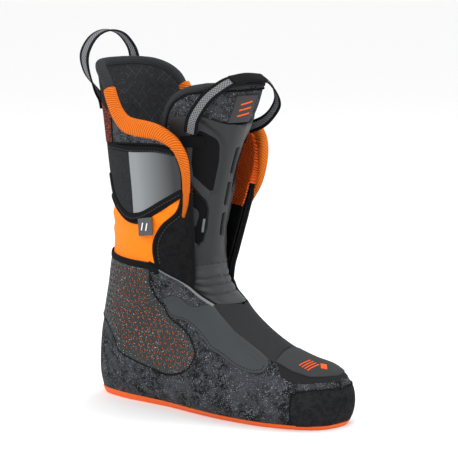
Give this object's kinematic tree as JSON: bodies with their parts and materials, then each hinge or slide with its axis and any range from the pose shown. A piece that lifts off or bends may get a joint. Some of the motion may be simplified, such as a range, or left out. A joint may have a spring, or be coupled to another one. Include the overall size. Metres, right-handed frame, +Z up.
{
  "type": "ski touring boot liner",
  "caption": "Heat-mouldable inner boot for a ski-touring boot, right foot, with stretch ankle, padded cuff, opening tongue and two pull loops.",
  "frame": {"origin": "on the flat underside of the sole, at the back of the heel", "axes": "+X towards the toe, +Y towards the inner side of the foot, +Z up the leg"},
  "size_m": [0.3026, 0.1274, 0.3629],
  "materials": {
    "sole_orange": "matte moulded foam rubber",
    "board_grey": "flat fibre board",
    "insole_grey": "felt",
    "foam_black": "closed-cell foam",
    "lining_black": "quilted knit with a fine grid",
    "marl_fabric": "mottled dark knit with light flecks",
    "toe_knit": "coarse ribbed knit",
    "neoprene": "smooth neoprene",
    "grey_weave": "fine plain weave",
    "stretch_weave": "fine stretch weave",
    "tpu_grey": "satin film with stitching",
    "perforated_grey": "perforated matt film",
    "orange_stretch": "smooth stretch knit",
    "orange_mesh": "open orange knit",
    "orange_backing": "knit",
    "black_fabric": "smooth knit",
    "black_binding": "folded tape",
    "reflective": "grainy reflective film over dark knit",
    "rear_mesh": "dark mesh with red-orange specks",
    "tag_grey": "woven tag",
    "webbing": "woven tape, black edges",
    "sleeve_black": "knitted sleeve",
    "shin_grey": "satin moulded plastic",
    "shin_dark": "recessed dark film",
    "light_edge": "light grey seam tape",
    "label_grey": "moulded label"
  },
  "bodies": {
    "foot": {"outsole": "sole_orange", "lasting_board": "board_grey", "insole": "insole_grey", "foot_padding": "foam_black", "foot_lining": "lining_black", "foot_shell": "marl_fabric", "toe_cap": "toe_knit", "toe_gusset": "neoprene", "toe_flap": "grey_weave", "instep_panel": "stretch_weave", "side_overlay_right": "tpu_grey", "side_overlay_left": "tpu_grey", "ankle_panel_right": "perforated_grey", "ankle_panel_left": "perforated_grey", "ankle_backing_right": "orange_backing", "ankle_backing_left": "orange_backing", "throat_edge_right": "light_edge", "throat_edge_left": "light_edge", "achilles_gusset": "orange_stretch", "front_flap_right": "black_fabric", "front_flap_left": "black_fabric", "tongue_base": "shin_grey", "tongue_bellows": "shin_grey"},
    "cuff": {"cuff_shell": "black_fabric", "cuff_padding": "foam_black", "cuff_lining": "lining_black", "rim_binding": "black_binding", "panel_edging_right": "black_binding", "panel_edging_left": "black_binding", "collar_roll_right": "orange_mesh", "collar_roll_left": "orange_mesh", "wing_lining_right": "orange_mesh", "wing_lining_left": "orange_mesh", "window_panel_right": "reflective", "window_panel_left": "reflective", "yoke_panel_right": "marl_fabric", "yoke_panel_left": "marl_fabric", "rear_mesh_right": "rear_mesh", "rear_mesh_left": "rear_mesh", "side_tag": "tag_grey", "rear_loop_tabs": "black_binding"},
    "tongue": {"shin_plate": "shin_grey", "shin_insert_right": "shin_dark", "shin_insert_left": "shin_dark", "tongue_face": "marl_fabric", "tongue_pad": "foam_black", "tongue_lining": "lining_black", "tongue_piping": "black_binding", "handle_tabs": "black_binding", "tongue_label": "label_grey"},
    "rear_loop": {"rear_loop": "webbing"},
    "handle": {"handle_strap": "webbing", "handle_sleeve": "sleeve_black"}
  },
  "joints": [
    {"name": "cuff_flex", "type": "hinge", "parent": "foot", "child": "cuff", "pos_m": [0.075, 0, 0.097], "axis": [0, 1, 0], "range_deg": [-2, 15], "stiffness_Nm_per_rad": 1.5, "deforming": ["achilles_gusset", "front_flap_right", "front_flap_left"]},
    {"name": "tongue_open", "type": "hinge", "parent": "foot", "child": "tongue", "pos_m": [0.146, 0, 0.118], "axis": [0, 1, 0], "range_deg": [0, 8], "stiffness_Nm_per_rad": 0.6, "deforming": ["tongue_bellows"]},
    {"name": "rear_loop_swing", "type": "hinge", "parent": "cuff", "child": "rear_loop", "pos_m": [-0.01, 0, 0.305], "axis": [0, -1, 0], "range_deg": [0, 100], "stiffness_Nm_per_rad": 0.05},
    {"name": "handle_swing", "type": "hinge", "parent": "tongue", "child": "handle", "pos_m": [0.133, 0, 0.27], "axis": [0, 1, 0], "range_deg": [0, 35], "stiffness_Nm_per_rad": 0.1}
  ]
}
